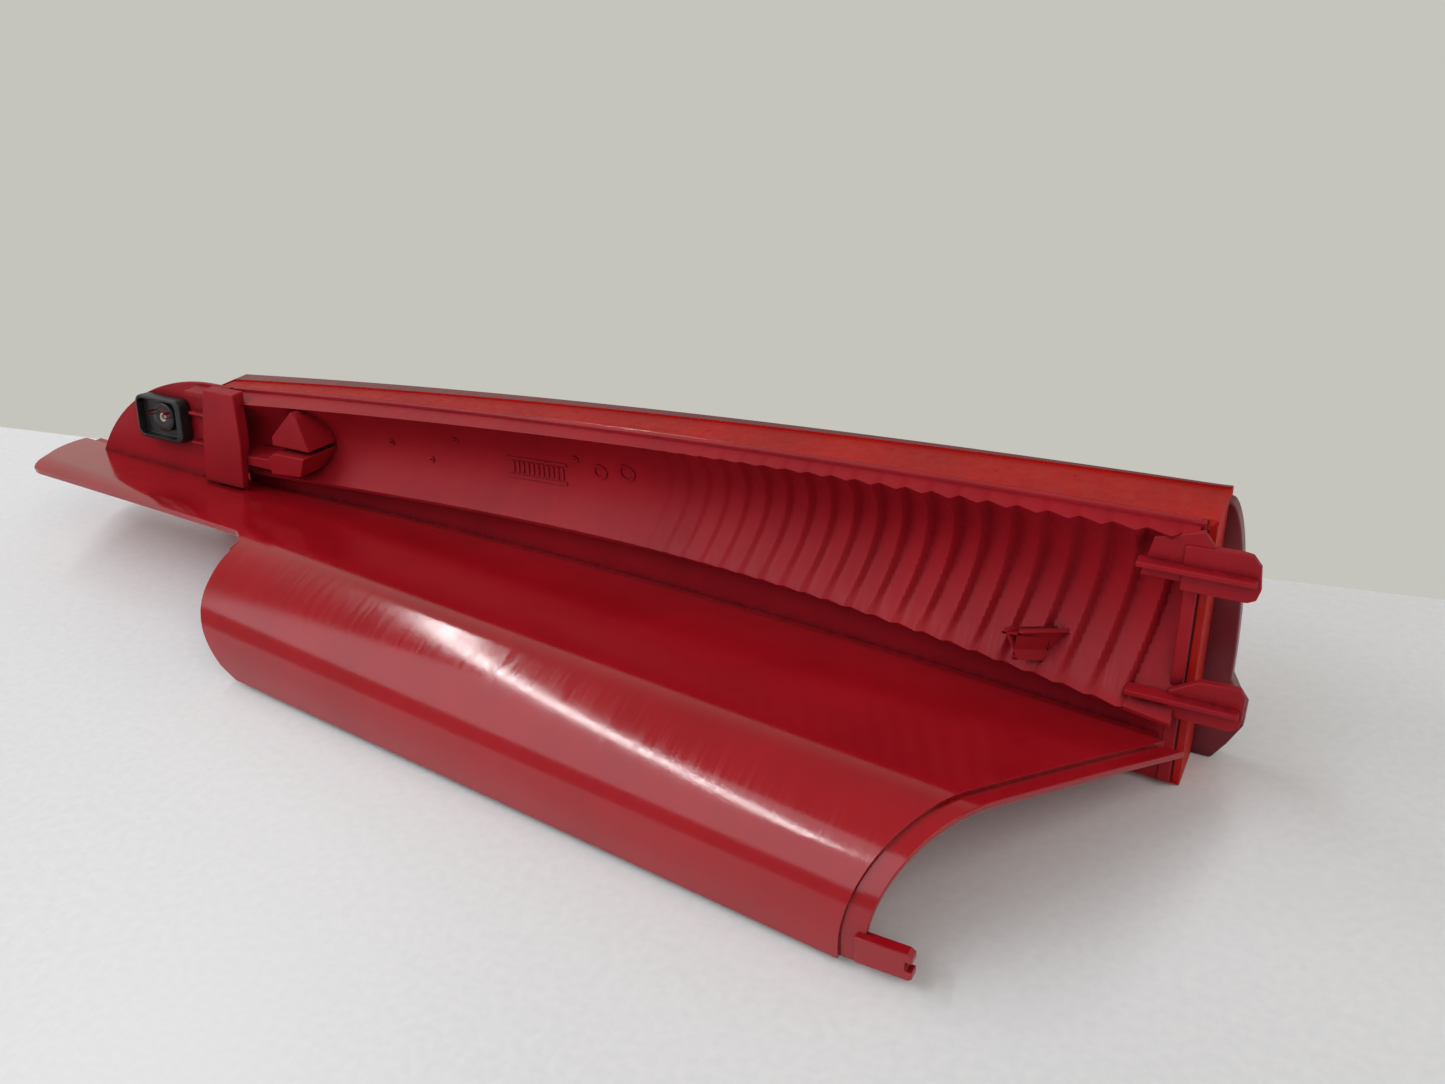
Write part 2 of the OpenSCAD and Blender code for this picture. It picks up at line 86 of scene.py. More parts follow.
def place(p):
    """A point of the drawing, in millimetres, as a point of the frame, in metres."""
    return ((p[0] - MID_X) / 1000, (p[1] - MID_Y) / 1000, (p[2] + LIFT) / 1000)


def steps(a, b, n):
    return [a + (b - a) * i / n for i in range(n + 1)]


def along(x):
    return (x - X_WIDE + SPAN) / SPAN


def hump(t):
    return max(0.0, 4 * t * (1 - t)) if 0 <= t <= 1 else 0.0


def z_top(x):
    return TOP_WIDE - RISE * (1 - along(x)) + 2.5 * hump(along(x))


def y_face(x):
    return 89 + BOW * hump(along(x))


def y_rim(x):
    return y_face(x) - 14 - 10 * along(x)


print("lens top rises from %.1f to %.1f mm" % (z_top(X_NARROW), z_top(X_WIDE)))

# %% [markdown]
# The crease is the line where the trim panel meets the lamp. The band and the lip are the upper and
# lower borders of the trough. All three bow a little, as the vehicle's side does.

# %% The crease, the band above the trough, and the lip
RECESS, CHANNEL = 7, 3


def crease_u(x):
    return (x + 136) / 385


def y_crease(x):
    return 66 - 10.5 * crease_u(x) + 5 * hump(crease_u(x))


def z_crease(x):
    return 27 - 7 * crease_u(x) + 1.5 * hump(crease_u(x))


def y_band(x):
    return y_face(x) - 27 - 3 * max(0.0, along(x)) ** 2


def z_band(x):
    return z_top(x) - 3


def z_lip(x):
    return z_crease(x) + 5 + 9 * math.sin(math.pi * along(x) ** 1.3)


print("crease falls from %.1f to %.1f mm" % (z_crease(X_NARROW), z_crease(X_WIDE)))

# %% [markdown]
# The reeds are a sawtooth along X: a long slope up to a crest and a short slope back. Their height
# and width grow towards the wide end, and each leans towards the narrow end on its way down.

# %% Trough and reeds
REED_X0, REED_X1, REED_N, REED_H, CREST = 60, 246, 22, 3.0, 0.74
TROUGH_D, DEEPENING = 10, 5


def reed_phase(x):
    u = (x - REED_X0) / (REED_X1 - REED_X0)
    return REED_N * u * (1.14 - 0.14 * u)


def saw(p):
    """A reed's height over its width, from 0 to 1, with its crest and its root a little rounded."""
    f = p - math.floor(p)
    ramp = f / CREST if f < CREST else (1 - f) / (1 - CREST)
    return ramp * ramp * (3 - 2 * ramp) * 0.15 + ramp * 0.85


def reed(x):
    u = (x - REED_X0) / (REED_X1 - REED_X0)
    if u <= 0 or u >= 0.995:
        return 0.0
    return REED_H * min(1, 1.6 * u) * saw(reed_phase(x))


def trough_depth(x):
    return TROUGH_D + DEEPENING * max(0.0, (x - REED_X0) / (X_WIDE - REED_X0))


def trough_y(x, s):
    across = y_band(x) + (y_crease(x) - 1 - y_band(x)) * s
    return across + trough_depth(x) * math.sin(math.pi * min(s, 1)) ** 0.85


def reeded_y(x, s):
    """The reeds lean towards the narrow end on their way down, and fade a little at the lip."""
    return trough_y(x, s) - reed(x + 9 * s**1.5) * min(1, 3.5 - 3 * s)


def trough_z(x, s):
    return z_band(x) + (z_lip(x) + 2 - z_band(x)) * s


print("reeds:", REED_N, "of up to", REED_H, "mm")

# %% [markdown]
# The panel is flat next to the crease and runs at a tangent into an arc of constant radius, so its
# highlight is one smooth line. A length across it is counted by s, which the flat and the arc share.

# %% Panel section
PANEL_T, CURL_R, CURL_Z = 2.4, 33, 4


def y_bottom(x):
    return -20.8 - (x + 59.7) * 0.105


def ray(angle, r):
    return r * math.cos(angle), r * math.sin(angle)


def tangent(x):
    dy = y_crease(x) - y_bottom(x) - CURL_R
    dz = z_crease(x) - CURL_Z
    return math.atan2(dz, dy) + math.acos(CURL_R / math.hypot(dy, dz))


def on_panel(x, s, depth=0.0):
    """[y, z] at s across the panel: 0 crease, 1 start of the curl, 1.9 its end, 2 bottom edge."""
    cy, a, r = y_bottom(x) + CURL_R, tangent(x), CURL_R - depth
    if s <= 1:
        by, bz = ray(a, depth)
        ty, tz = ray(a, r)
        y = (y_crease(x) - by) * (1 - s) + (cy + ty) * s
        return y, (z_crease(x) - bz) * (1 - s) + (CURL_Z + tz) * s
    if s < 1.9:
        ty, tz = ray(a + (math.pi - a) * (s - 1) / 0.9, r)
        return cy + ty, CURL_Z + tz
    return cy - r, CURL_Z - CURL_Z * (s - 1.9) / 0.1


print("curl: radius", CURL_R, "mm, sheet", PANEL_T, "mm")

# %% [markdown]
# The wide end runs at a slant. At the narrow end the curl
# stops early and only the flat carries on, as a tongue with a fillet at its root and a rounded tip.

# %% Ends of the panel
TONGUE_X, TIP_X, FLANGE_W = -84, -250, 7
FILLET = 11


def wide_edge(y):
    return 189.3 + 0.586 * (y + 47)


def wide_x(s):
    return wide_edge(on_panel(wide_edge(on_panel(215, s)[0]), s)[0])


def narrow_x(s):
    return TONGUE_X + 3 * max(0, s - 1) + 19 * max(0, (s - 1.5) / 0.5) ** 2.2


def tongue_s(x):
    turn = max(0.0, x - TONGUE_X + FILLET)
    near = 17.9 - 0.05 * (x - TONGUE_X) - FILLET + math.sqrt(max(0.0, FILLET**2 - turn**2))
    a, cy = tangent(x), y_bottom(x) + CURL_R
    full = 1 + 0.9 * (math.acos((near - cy) / CURL_R) - a) / (math.pi - a)
    t = min(1.0, (x - TIP_X) / 27)
    return 0.02 + (full - 0.02) * (1 - (1 - t) ** 1.6) ** 0.8


print("tongue: %.0f mm long" % (TONGUE_X - TIP_X))

# %% [markdown]
# ## Making meshes
# Nearly every piece is a wall with two faces, so one helper takes the two faces as grids of points
# and closes the rim between them. A second helper closes a stack of outlines into a solid. A narrow
# bevel on sharp edges catches the light as a real moulding's edges do.

# %% Mesh helpers
def piece(name, points, faces, material, slot, bevel=0.3, body="lamp", sharp=32):
    mesh = bpy.data.meshes.new(name)
    mesh.from_pydata([place(p) for p in points], [], faces)
    work = bmesh.new()
    work.from_mesh(mesh)
    bmesh.ops.remove_doubles(work, verts=work.verts, dist=1e-6)
    bmesh.ops.recalc_face_normals(work, faces=work.faces)
    work.to_mesh(mesh)
    work.free()
    mesh.shade_smooth()
    mesh.set_sharp_from_angle(angle=math.radians(sharp))
    mesh.materials.append(material)
    obj = bpy.data.objects.new(name, mesh)
    bpy.context.scene.collection.objects.link(obj)
    if bevel:
        edge = obj.modifiers.new("edge", "BEVEL")
        edge.width, edge.segments = bevel / 1000, 2
        edge.limit_method, edge.angle_limit = "ANGLE", math.radians(40)
        edge.use_clamp_overlap = True
        edge.harden_normals = True
    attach(obj, body)
    return obj


def wall(name, top, low, material, slot, **more):
    """A wall between two grids of points, rows along X."""
    n, m = len(top), len(top[0])
    points = [p for row in top + low for p in row]
    below = n * m
    faces = []
    for i in range(n - 1):
        for j in range(m - 1):
            a, b, c, d = i * m + j, i * m + j + 1, (i + 1) * m + j + 1, (i + 1) * m + j
            faces += [(a, b, c, d), (a + below, d + below, c + below, b + below)]
    rim = [(0, j) for j in range(m)] + [(i, m - 1) for i in range(1, n)]
    rim += [(n - 1, j) for j in range(m - 2, -1, -1)] + [(i, 0) for i in range(n - 2, 0, -1)]
    loop = [i * m + j for i, j in rim]
    faces += [(a, a + below, b + below, b) for a, b in zip(loop, loop[1:] + loop[:1])]
    return piece(name, points, faces, material, slot, **more)


def stack(name, outlines, material, slot, hollow=False, **more):
    """A closed solid through outlines of equal length, or a tube whose last outline meets the first."""
    n, m = len(outlines), len(outlines[0])
    points = [p for outline in outlines for p in outline]
    faces = [] if hollow else [tuple(range(m - 1, -1, -1)), tuple((n - 1) * m + j for j in range(m))]
    for i in range(n if hollow else n - 1):
        for j in range(m):
            k, up = (j + 1) % m, (i + 1) % n * m
            faces.append((i * m + j, i * m + k, up + k, up + j))
    return piece(name, points, faces, material, slot, **more)


def bar(name, x0, y0, z0, x1, y1, z1, material, slot, **more):
    low = [(x0, y0, z0), (x1, y0, z0), (x1, y1, z0), (x0, y1, z0)]
    return stack(name, [low, [(x, y, z1) for x, y, _ in low]], material, slot, **more)


# %% [markdown]
# ## Finishes
# A finish is a small network of nodes: a texture gives the variation, and the surface shader takes
# it as colour, roughness or bump. One helper adds any node with its settings and links.

# %% Node helpers
def linear(code):
    """An sRGB hex colour as linear red, green, blue and alpha."""
    parts = [int(code[i : i + 2], 16) / 255 for i in (1, 3, 5)]
    return [c / 12.92 if c <= 0.04045 else ((c + 0.055) / 1.055) ** 2.4 for c in parts] + [1.0]


def add(tree, kind, settings=None, **links):
    """Adds a node. Settings are its properties, or its inputs by name; links feed its inputs."""
    node = tree.nodes.new(kind)
    for key, value in (settings or {}).items():
        if key in node.inputs:
            node.inputs[key].default_value = value
        else:
            setattr(node, key, value)
    for key, source in links.items():
        numbered = key[1:].isdigit()
        socket = node.inputs[int(key[1:]) if numbered else key.replace("_", " ")]
        tree.links.new(source, socket)
    return node


def finish_of(name, settings):
    """A material with only its surface shader, which is returned with its tree."""
    material = bpy.data.materials.new(name)
    material.use_nodes = True
    tree = material.node_tree
    shader = tree.nodes["Principled BSDF"]
    for key, value in settings.items():
        shader.inputs[key].default_value = value
    return material, tree, shader


def ramp(tree, source, low, high, a, b):
    """Maps source from low..high to a..b, held at the ends."""
    limits = {"From Min": low, "From Max": high, "To Min": a, "To Max": b}
    return add(tree, "ShaderNodeMapRange", limits, Value=source).outputs["Result"]


def noise(tree, where, scale, detail, roughness=0.5):
    settings = {"Scale": scale, "Detail": detail, "Roughness": roughness}
    return add(tree, "ShaderNodeTexNoise", settings, Vector=where).outputs["Fac"]


def relief(tree, height, strength, **more):
    """A bump a tenth of a millimetre deep."""
    settings = {"Strength": strength, "Distance": 0.0001}
    return add(tree, "ShaderNodeBump", settings, Height=height, **more).outputs[0]


def blend_colours(tree, amount, first, second):
    """Mixes two colours, each a hex code or a socket, by amount."""
    node = add(tree, "ShaderNodeMix", {"data_type": "RGBA"})
    tree.links.new(amount, node.inputs["Factor"])
    for key, colour in (("A", first), ("B", second)):
        socket = [s for s in node.inputs if s.name == key and s.type == "RGBA"][0]
        if isinstance(colour, str):
            socket.default_value = linear(colour)
        else:
            tree.links.new(colour, socket)
    return [s for s in node.outputs if s.type == "RGBA"][0]


# %% [markdown]
# ### Moulded ABS, coloured red in the mass
# The housing and the panel are injection-moulded ABS. The tool's surface is polished, so the plastic
# is semi-glossy, but it is worn: hair-fine rub marks run across the panel and soften its highlight,
# the colour is uneven over some centimetres, and the corners are darkened with painted shade.

# %% Moulded ABS
def moulded_abs(name, light, dark, corner_shade, rub=1.0, rough=(0.08, 0.17), gloss=0.5):
    material, tree, shader = finish_of(name, {"IOR": 1.53, "Specular IOR Level": gloss})
    where = add(tree, "ShaderNodeTexCoord").outputs["Object"]
    # uneven colour, about 45 mm across
    cloud = ramp(tree, noise(tree, where, 22.0, 4.0, 0.6), 0.3, 0.7, 0, 1)
    colour = blend_colours(tree, cloud, dark, light)
    # painted shade in corners narrower than 6 mm, broken up by specks of 2 to 3 mm
    corner = add(tree, "ShaderNodeAmbientOcclusion", {"Distance": 0.006, "samples": 6})
    depth = ramp(tree, corner.outputs["AO"], 0.25, 0.85, 1, 0)
    speck = ramp(tree, noise(tree, where, 420.0, 5.0, 0.7), 0.35, 0.62, 0.25, 1)
    darkening = add(tree, "ShaderNodeMath", {"operation": "MULTIPLY"}, _0=depth, _1=speck)
    tree.links.new(blend_colours(tree, darkening.outputs[0], colour, corner_shade), shader.inputs["Base Color"])
    # rub marks: about 0.8 mm wide along the lamp and 22 mm long across it
    squeeze = add(tree, "ShaderNodeMapping", {"Scale": (1250.0, 45.0, 45.0)}, Vector=where)
    marks = noise(tree, squeeze.outputs[0], 1.0, 3.0, 0.65)
    tree.links.new(ramp(tree, marks, 0.35, 0.65, *rough), shader.inputs["Roughness"])
    # over them the fine grain of the mould, 0.7 mm
    worn = relief(tree, marks, 0.1 * rub)
    grain = relief(tree, noise(tree, where, 1400.0, 2.0), 0.12, Normal=worn)
    tree.links.new(grain, shader.inputs["Normal"])
    return material


# the third colour of each finish is the painted shade in its corners
panel_abs = moulded_abs("moulded_abs_panel", "#A3131F", "#930F1A", "#2A070A")
housing_abs = moulded_abs("moulded_abs_housing", "#A01824", "#8C1420", "#2A070A", 0.4, (0.4, 0.54), 0.16)
lens_frame = moulded_abs("moulded_lens_frame", "#7A2530", "#672029", "#1E0709", 0.3, (0.28, 0.4), 0.3)
print("moulded plastics:", panel_abs.name, housing_abs.name, lens_frame.name)

# %% [markdown]
# ### Acrylic lens
# The lens is clear acrylic (PMMA) dyed red and moulded in a polished tool. Light passes through it.
# Where its thin sides are lit from behind, their glow is painted light: they give off light of their own.
# Its front frame is an opaque darker red, so it takes the moulded plastic above.

# %% Acrylic lens
def dyed_acrylic(name, light, dark, rough, gloss=0.5, painted_glow=0.0):
    """The painted glow is painted light: emission that stands for the daylight that the lens gathers and
    gives off at its thin sides.
    """
    settings = {"IOR": 1.49, "Transmission Weight": 0.62 - painted_glow, "Specular IOR Level": gloss}
    settings.update({"Emission Color": linear(light), "Emission Strength": painted_glow})
    material, tree, shader = finish_of(name, settings)
    where = add(tree, "ShaderNodeTexCoord").outputs["Object"]
    cloud = ramp(tree, noise(tree, where, 35.0, 3.0), 0.3, 0.7, 0, 1)
    # specks of dirt about 4 mm across
    speck = noise(tree, where, 260.0, 6.0, 0.75)
    darkening = ramp(tree, speck, 0.62, 0.7, 0, 0.8)
    tint = blend_colours(tree, cloud, light, dark)
    tree.links.new(blend_colours(tree, darkening, tint, "#1B0705"), shader.inputs["Base Color"])
    tree.links.new(ramp(tree, speck, 0.4, 0.7, rough, rough + 0.3), shader.inputs["Roughness"])
    return material


lens_acrylic = dyed_acrylic("dyed_acrylic", "#D8150F", "#C81512", 0.08)
# the sides' finish has a painted glow: emission that stands for light let through from behind
lens_side_painted_glow = dyed_acrylic("dyed_acrylic_side_painted_glow", "#C41A12", "#A81412", 0.5, 0.1, 0.12)
print("acrylics:", lens_acrylic.name, lens_side_painted_glow.name)

# %% [markdown]
# ### Smaller pieces
# The clip is glass-filled nylon, dull and black. The seals are rubber. What is inside the lamp takes
# plain workshop finishes, each with a little unevenness, because it is seen only through the lens.

# %% Plain finishes
def plain(name, light, dark, rough, scale_mm=2.0, bump=0.15, **settings):
    """One colour with mottling about scale_mm across, which also makes the bump."""
    keys = {key.replace("_", " "): value for key, value in settings.items()}
    material, tree, shader = finish_of(name, keys)
    where = add(tree, "ShaderNodeTexCoord").outputs["Object"]
    grain = noise(tree, where, 1000 / scale_mm, 3.0)
    amount = ramp(tree, grain, 0.3, 0.7, 0, 1)
    tree.links.new(blend_colours(tree, amount, dark, light), shader.inputs["Base Color"])
    tree.links.new(ramp(tree, grain, 0.3, 0.7, rough - 0.06, rough + 0.06), shader.inputs["Roughness"])
    tree.links.new(relief(tree, grain, bump), shader.inputs["Normal"])
    return material


black_nylon = plain("glass_filled_nylon", "#1E1D1F", "#141416", 0.38)
natural_nylon = plain("natural_nylon", "#C9C4B8", "#B5AFA2", 0.45)
rubber = plain("seal_rubber", "#17171A", "#0F0F11", 0.75, 1.0)
foam = plain("closed_cell_foam", "#2E2E30", "#1C1C1E", 0.9, 0.7, 0.6)
bright_plastic = plain("reflector_plastic", "#D9D9DB", "#CDCDD0", 0.22, 3.0, 0.05)
opal_acrylic = plain("opal_acrylic", "#E9E5E5", "#DAD6D6", 0.3, 3.0, 0.05, Transmission_Weight=0.4)
solder_resist = plain("solder_resist", "#1F6B43", "#175235", 0.35, 1.5)
led_body = plain("led_package", "#EFE6BE", "#DDD2A6", 0.4, 0.5)
chip = plain("moulded_chip", "#232325", "#171719", 0.55, 0.4)
zinc = plain("zinc_plated_steel", "#B8BBBF", "#9A9DA2", 0.35, 0.4, 0.2, Metallic=1.0)
pvc = plain("pvc_insulation", "#A81C2A", "#931623", 0.45, 1.0)
brass = plain("stamped_brass", "#C9A24A", "#B08A3A", 0.3, 0.5, 0.1, Metallic=1.0)
membrane = plain("vent_membrane_felt", "#ECECE8", "#D8D8D2", 0.9, 0.2, 0.5)
print("finishes:", len(bpy.data.materials))

# %% [markdown]
# ## Back of the housing
# A wall that folds five times: a narrow rim at the top, a light band, the long concave trough with
# its reeds, a lip with a dark channel under it, and a lower wall behind the panel. The two faces of
# that wall are drawn at each place along X, and the steps are shortest where the reeds are.

# %% Back wall
GAP = 0.1


def back_outer(x):
    yr, yc, zt, zl = y_rim(x) - GAP, y_crease(x), z_top(x), z_lip(x)
    rim = [(yr, zt - 0.9), (yr - 0.2, zt - 0.45), (yr - 0.6, zt - 0.2), (yr - 2, zt - 0.2)]
    rim += [(yr - 2.5, zt - 0.5), (yr - 2.6, zt - 1.6)]
    trough = [(reeded_y(x, s), trough_z(x, s)) for s in steps(0, 1, 44)]
    lip = [(yc - 0.6, zl + 0.6), (yc - 0.2, zl + 0.2), (yc + 0.8, zl), (yc + RECESS, zl + 0.6)]
    foot = [(yc + RECESS, z_crease(x) - CHANNEL - PANEL_T), (yr - 2, Z_FOOT + 2.4), (yr, Z_FOOT + 2.4)]
    return rim + trough + lip + foot


def back_inner(x):
    yr, yc, zt, zl = y_rim(x) - GAP, y_crease(x), z_top(x), z_lip(x)
    rim = [(yr, zt - 3.2), (yr - 0.5, zt - 3.3), (yr - 1, zt - 3.4), (yr - 2, zt - 3.6)]
    rim += [(yr - 2.3, zt - 3.7), (yr - 2.6, zt - 3.9)]
    trough = [(trough_y(x, s) + WALL, trough_z(x, s)) for s in steps(0.08, 0.9, 44)]
    back = yc + RECESS
    lip = [(back, zl + 3.2), (back + 0.5, zl + 3), (back + 1, zl + 2.8), (back + WALL, zl + 2)]
    foot = [(back + WALL, z_crease(x) - 4), (yr - 0.4, Z_FOOT + 5.2), (yr, Z_FOOT + 5)]
    return rim + trough + lip + foot


def at(x, outline):
    return [(x, y, z) for y, z in outline]


back_xs = steps(X_NARROW, REED_X0 - 2, 60) + steps(REED_X0 - 1, REED_X1 + 1, 330) + [X_WIDE]
back = wall("housing_back", [at(x, back_outer(x)) for x in back_xs], [at(x, back_inner(x)) for x in back_xs],
            housing_abs, "red_abs", bevel=0, sharp=28)
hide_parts("rear_housing")
print("housing back:", len(back.data.polygons), "faces")

# %% [markdown]
# The housing is closed at both ends. Each end wall starts in the middle of the back's own wall, so
# no seam shows, and reaches forward to the rim. At the wide end a rim runs down beside the lens.

# %% End walls
def end_wall(x, past):
    """The wall's near edge follows the back, and its far edge stands past the rim by `past`."""
    outer, inner, yr = back_outer(x)[5:-1], back_inner(x)[5:-1], y_rim(x) - GAP + past
    edge = [((a[0] + b[0]) / 2, (a[1] + b[1]) / 2) for a, b in zip(outer, inner)]
    return at(x, edge), at(x, [(max(yr, y + 0.6), z) for y, z in edge])


ends = (("housing_end_narrow", X_NARROW + 0.1, 0), ("housing_end_wide", X_WIDE - WALL, 1))
for name, x, past in ends:
    near, far = end_wall(x, past), end_wall(x + WALL - 0.1, past)
    wall(name, [near[0], near[1]], [far[0], far[1]], housing_abs, "red_abs", bevel=0)

# %% Rim along the wide end
rim_y = y_rim(X_WIDE) - GAP
bar("housing_end_rim", X_WIDE - 2.5, rim_y - 2.6, Z_FOOT + 2.4, X_WIDE + 1.3, rim_y, z_top(X_WIDE) - 0.4,
    housing_abs, "red_abs", bevel=0.5)
print("end walls:", [name for name, x, past in ends])

# %% [markdown]
# ## Trim panel
# A sheet 2.4 mm thick that leaves the crease flat and curls through a quarter turn. Its narrow end
# carries on as a tongue, its wide end has a stepped strip that laps under the next trim piece, and
# a small forked peg stands at the corner.

# %% Panel sheet
def sheet_face(x, across, depth):
    y, z = y_crease(x), z_crease(x)
    drop = CHANNEL + max(0, depth - 0.3)
    floor = [(y + RECESS - GAP, z - drop), (y + (1.4 if depth == 0 else -0.4), z - drop)]
    return floor + [on_panel(x, s if depth == 0 or s > 0 else 0.04, depth) for s in across]


across = steps(0, 1, 24) + steps(1.03, 1.9, 36) + steps(1.95, 2, 1)


def sheet_row(v, depth):
    first = [narrow_x(0)] * 2 + [narrow_x(s) for s in across]
    last = [246, 246] + [wide_x(s) for s in across]
    xs = [a * (1 - v) + b * v for a, b in zip(first, last)]
    return [(x, *sheet_face(x, across, depth)[i]) for i, x in enumerate(xs)]


panel = wall("panel_sheet", [sheet_row(v, 0) for v in steps(0, 1, 110)],
             [sheet_row(v, PANEL_T) for v in steps(0, 1, 110)], panel_abs, "red_abs", bevel=0.5)
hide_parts("trim_panel")
fillet_x = TONGUE_X - FILLET
tongue_xs = steps(TIP_X, fillet_x, 60) + steps(fillet_x + 0.5, TONGUE_X, 24) + [TONGUE_X + 0.4]


def tongue_row(x, depth):
    return at(x, sheet_face(x, steps(0, tongue_s(x), 30), depth))


wall("panel_tongue", [tongue_row(x, 0) for x in tongue_xs], [tongue_row(x, PANEL_T) for x in tongue_xs],
     panel_abs, "red_abs", bevel=0.5)
print("panel sheet:", len(panel.data.polygons), "faces")

# %% [markdown]
# The lap strip lies 1.2 mm below the panel's face, so the next trim piece can lie over it flush. The
# peg's fork is a slot in its tip.

# %% Lap strip and end peg
def lap_row(s, depth):
    x, (y, z) = wide_x(s), on_panel(wide_x(s), s, depth)
    return [(x - 3 + (FLANGE_W + 3) * t, y, z) for t in steps(0, 1, 8)]


lap_s = steps(0.02, 1, 24) + steps(1.03, 1.9, 30) + [2]
wall("panel_lap_strip", [lap_row(s, 1.2) for s in lap_s], [lap_row(s, 3.2) for s in lap_s], panel_abs,
     "red_abs", bevel=0.4)
PEG_Y, PEG_TIP = (-47, -43.5), 210
peg_side = [(194, 1), (PEG_TIP - 1, 1), (PEG_TIP, 1.8), (PEG_TIP, 4), (208, 4), (208, 7), (PEG_TIP, 7),
            (PEG_TIP, 9), (PEG_TIP - 1.4, 10), (194, 10)]
stack("panel_end_peg", [[(x, y, z) for x, z in peg_side] for y in PEG_Y], panel_abs, "red_abs", bevel=0.4)
print("lap strip:", FLANGE_W, "mm wide")

# %% [markdown]
# ## Lens
# One tall tray: a bowed front, short walls on all sides, and a front flange that stands out past the
# wide end. It is drawn as outlines along X, like the housing, and it gets lower at its narrow end.

# %% Lens
LENS_X0, LENS_X1, CORNER_X, LENS_WALL = -184, 254, -152, 2.4


def lens_top(x):
    return z_top(CORNER_X) + (x - CORNER_X) * 0.42 if x < CORNER_X else z_top(x)


def lens_foot(x):
    return Z_FOOT + ((CORNER_X - x) / 32) ** 2 * 14 if x < CORNER_X else Z_FOOT


def ledge_width(x):
    """The raised strip along the front of the lens top narrows towards the wide end."""
    return 7.4 - 5.2 * max(0.0, (x - CORNER_X) / (LENS_X1 - CORNER_X))


def lens_face(x, inset):
    """The tray's section from its top rim, round the front and back to its lower rim."""
    yf, yr = y_face(x) - inset, y_rim(x) + 0.8 - (2.8 if inset else 0)
    zt, zb = lens_top(x) - inset - (0.8 if inset else 0), lens_foot(x) + inset
    ledge = yf - ledge_width(x)
    if inset:
        top = [(yr, zt), (ledge, zt), (ledge + 0.5, zt), (yf - 1, zt)]
    else:
        top = [(yr, zt - 0.8), (ledge, zt - 0.8), (ledge, zt), (yf - 1, zt)]
    front = [(yf + 3 * math.sin(math.pi * t), zt - 1 - (zt - zb - 2) * t) for t in steps(0, 1, 40)]
    return top + front + [(yf - 1, zb), (yr, zb)]


lens_xs = steps(LENS_X0, CORNER_X, 16) + steps(CORNER_X + 1, LENS_X1, 150)


def inside(x):
    return max(LENS_X0 + LENS_WALL, min(LENS_X1 - LENS_WALL, x))


outer = [at(x, lens_face(x, 0)) for x in lens_xs]
inner = [at(inside(x), lens_face(inside(x), LENS_WALL)) for x in lens_xs]
tray = wall("lens_tray", outer, inner, lens_acrylic, "red_lens", bevel=0)
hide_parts("outer_lens")
# the raised strip along the top takes the frame's finish, and the rest of the top takes the side's, with its
# painted glow
tray.data.materials.append(lens_frame)
tray.data.materials.append(lens_side_painted_glow)
for polygon in tray.data.polygons:
    x, y, z = [c * 1000 for c in polygon.center]
    below = lens_top(x + MID_X) - (z - LIFT)
    if polygon.normal.z > 0.8 and below < 1.2:
        polygon.material_index = 1 if below < 0.3 else 2

# %% [markdown]
# The tray's ends are two flat walls. The front flange is a rounded plate that stands out past the
# wide end and hides the seam to the next trim piece.

# %% Lens ends and front flange
for name, x in (("lens_end_narrow", LENS_X0), ("lens_end_wide", LENS_X1 - LENS_WALL)):
    sides = []
    for end in (x, x + LENS_WALL):
        yr, zt, zb = y_rim(end) + 0.8, lens_top(end), lens_foot(end)
        front = y_face(end)
        sides.append(at(end, [(yr, zt - 1), (front, zt - 1.6), (front, zb + 0.4), (yr, zb + 0.2)]))
    # the ends take the side finish with its painted glow
    stack(name, sides, lens_side_painted_glow, "red_lens", bevel=0.3)
flange = [(245, Z_FOOT + 0.1), (245, 86.9), (253.8, 86.9)]
for degrees in range(6, 91, 3):
    a = math.radians(degrees)
    flange.append((LENS_X1 + 8.4 * math.sin(a), 28 + 58.9 * math.cos(a)))
flange += [(265, 23), (267.9, 19), (267.9, 12), (264, 4), (260, Z_FOOT + 0.1)]
flange_y = y_face(LENS_X1) + 0.5
stack("lens_flange", [[(x, y, z) for x, z in flange] for y in (flange_y - 5.8, flange_y)], lens_frame,
      "red_lens", bevel=0.6)
print("lens tray:", len(tray.data.polygons), "faces")

# %% [markdown]
# ## Fixings on the housing
# Ear and rails for the clip, a link wall, two wedges, two locating tabs with ribs, and a hollow
# tower that is open at one end. All are part of the same red moulding.

# %% [markdown]
# The link wall is an upright strap, narrower at its top, that joins the ear to the trough. The two
# wedges beside it lie one close above the other, with a narrow slot between them.

# %% Link wall and wedges
def plate(side, y0, y1):
    """Two outlines of a flat plate, given its side view in X and Z."""
    return [[(x, y, z) for x, z in side] for y in (y0, y1)]


